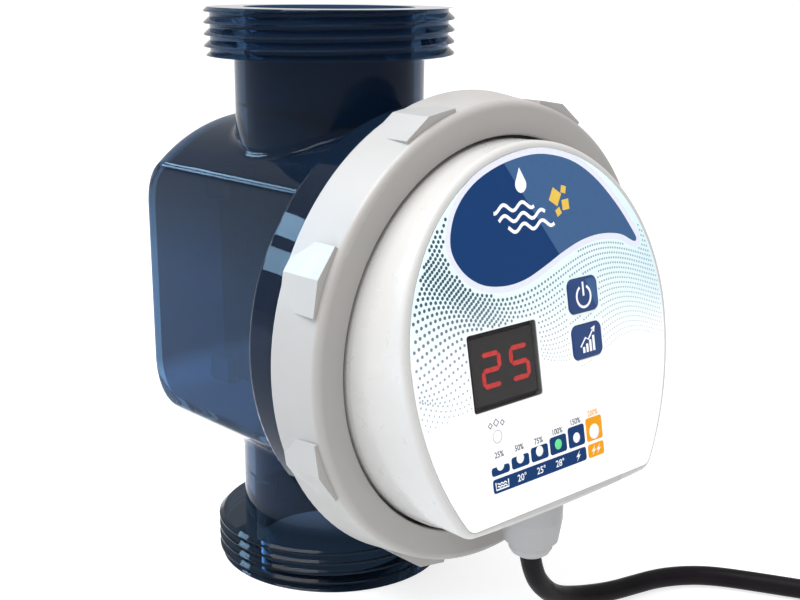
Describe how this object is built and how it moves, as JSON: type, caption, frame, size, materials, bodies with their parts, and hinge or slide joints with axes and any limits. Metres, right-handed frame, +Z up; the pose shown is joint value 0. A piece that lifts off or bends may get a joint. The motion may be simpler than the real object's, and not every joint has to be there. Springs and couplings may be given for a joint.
{
  "type": "salt chlorine generator",
  "caption": "Inline pool chlorinator: flat-sided translucent cell between threaded pipe ports, electrode cartridge, hand lock ring, sloping round control head and corded plug.",
  "frame": {"origin": "centre of the lower port's sealing face, on the pipe axis", "axes": "+Z up along the pipe axis to the upper port; the control head looks along -Y; +X to the right of the head's face"},
  "size_m": [0.2191, 0.3497, 0.214],
  "materials": {
    "cell_moulding": "translucent dark navy moulding, polished",
    "ring_grey": "light grey moulding, fine satin grain",
    "cover_white": "white moulding, semi-gloss",
    "label_film": "printed polyester film, satin",
    "window_smoke": "dark tinted window",
    "key_navy": "navy domed keys, satin",
    "lamp_green": "clear lamp with a green tint",
    "lamp_clear": "clear lamp",
    "digit_red": "lit red bars",
    "module_black": "black display block",
    "board_green": "green solder mask",
    "header_black": "black nylon",
    "ribbon_grey": "grey flat cable",
    "carrier_grey": "dark grey glass-filled moulding",
    "comb_white": "natural polypropylene",
    "titanium": "coated titanium sheet, dull",
    "stud_steel": "bright turned",
    "screw_steel": "zinc plated",
    "seal_rubber": "black elastomer",
    "washer_nylon": "natural nylon",
    "core_steel": "varnished laminations",
    "winding_copper": "enamelled copper under tape",
    "can_aluminium": "sleeved cans",
    "sink_aluminium": "extruded, plain",
    "terminal_green": "green nylon",
    "fuse_glass": "clear tube",
    "clip_brass": "tinned spring brass",
    "bush_grey": "grey elastomer, satin",
    "cable_black": "black PVC sheath, satin",
    "lead_brown": "brown insulation",
    "lead_blue": "blue insulation",
    "lead_earth": "green insulation with a yellow stripe"
  },
  "bodies": {
    "cell": {"anode_bus_bar": "titanium", "anode_plates": "titanium", "cable_coil": "cable_black", "capacitors": "can_aluminium", "cathode_bus_bar": "titanium", "cathode_plates": "titanium", "cell_body": "cell_moulding", "control_board": "board_green", "control_board_screws": "screw_steel", "control_header": "header_black", "cord_grip": "header_black", "cover_gasket": "seal_rubber", "cover_screws": "screw_steel", "display_module": "module_black", "display_segments": "digit_red", "display_window": "window_smoke", "earth_clips": "stud_steel", "earth_lead": "lead_earth", "electrode_carrier": "carrier_grey", "front_cover": "cover_white", "fuse": "fuse_glass", "fuse_clips": "clip_brass", "head_seal": "seal_rubber", "heat_sink": "sink_aluminium", "inner_cable": "cable_black", "label_overlay": "label_film", "level_lamps": "lamp_green", "level_switch": "header_black", "live_lead": "lead_brown", "neutral_lead": "lead_blue", "plate_combs": "comb_white", "plug_body": "cable_black", "plug_cable": "cable_black", "plug_pins": "clip_brass", "power_board": "board_green", "power_board_screws": "screw_steel", "power_cable": "cable_black", "power_header": "header_black", "power_switch": "header_black", "relays": "header_black", "ribbon_cable": "ribbon_grey", "salt_lamp": "lamp_clear", "strain_relief": "bush_grey", "stud_lock_nuts": "stud_steel", "terminal_block": "terminal_green", "terminal_nuts": "stud_steel", "terminal_studs": "stud_steel", "transformer_core": "core_steel", "transformer_winding": "winding_copper", "transistors": "header_black"},
    "washer": {"slip_washer": "washer_nylon"},
    "ring": {"lock_ring": "ring_grey"},
    "power_key": {"power_button": "key_navy"},
    "level_key": {"level_button": "key_navy"}
  },
  "joints": [
    {"name": "ring_advance", "type": "slide", "parent": "cell", "child": "washer", "axis": [0, -1, 0], "range_m": [0, 0.008]},
    {"name": "ring_turn", "type": "hinge", "parent": "washer", "child": "ring", "pos_m": [0, -0.078, 0.107], "axis": [0, -1, 0], "range_deg": [0, 720]},
    {"name": "power_press", "type": "slide", "parent": "cell", "child": "power_key", "axis": [0, 0.981, -0.1942], "range_m": [0, 0.0005], "stiffness_N_per_m": 800, "springref_m": -0.0006},
    {"name": "level_press", "type": "slide", "parent": "cell", "child": "level_key", "axis": [0, 0.981, -0.1942], "range_m": [0, 0.0005], "stiffness_N_per_m": 800, "springref_m": -0.0006}
  ],
  "couplings": [
    {"joint": "ring_advance", "follows": "ring_turn", "m_per_rad": 0.00063661}
  ]
}
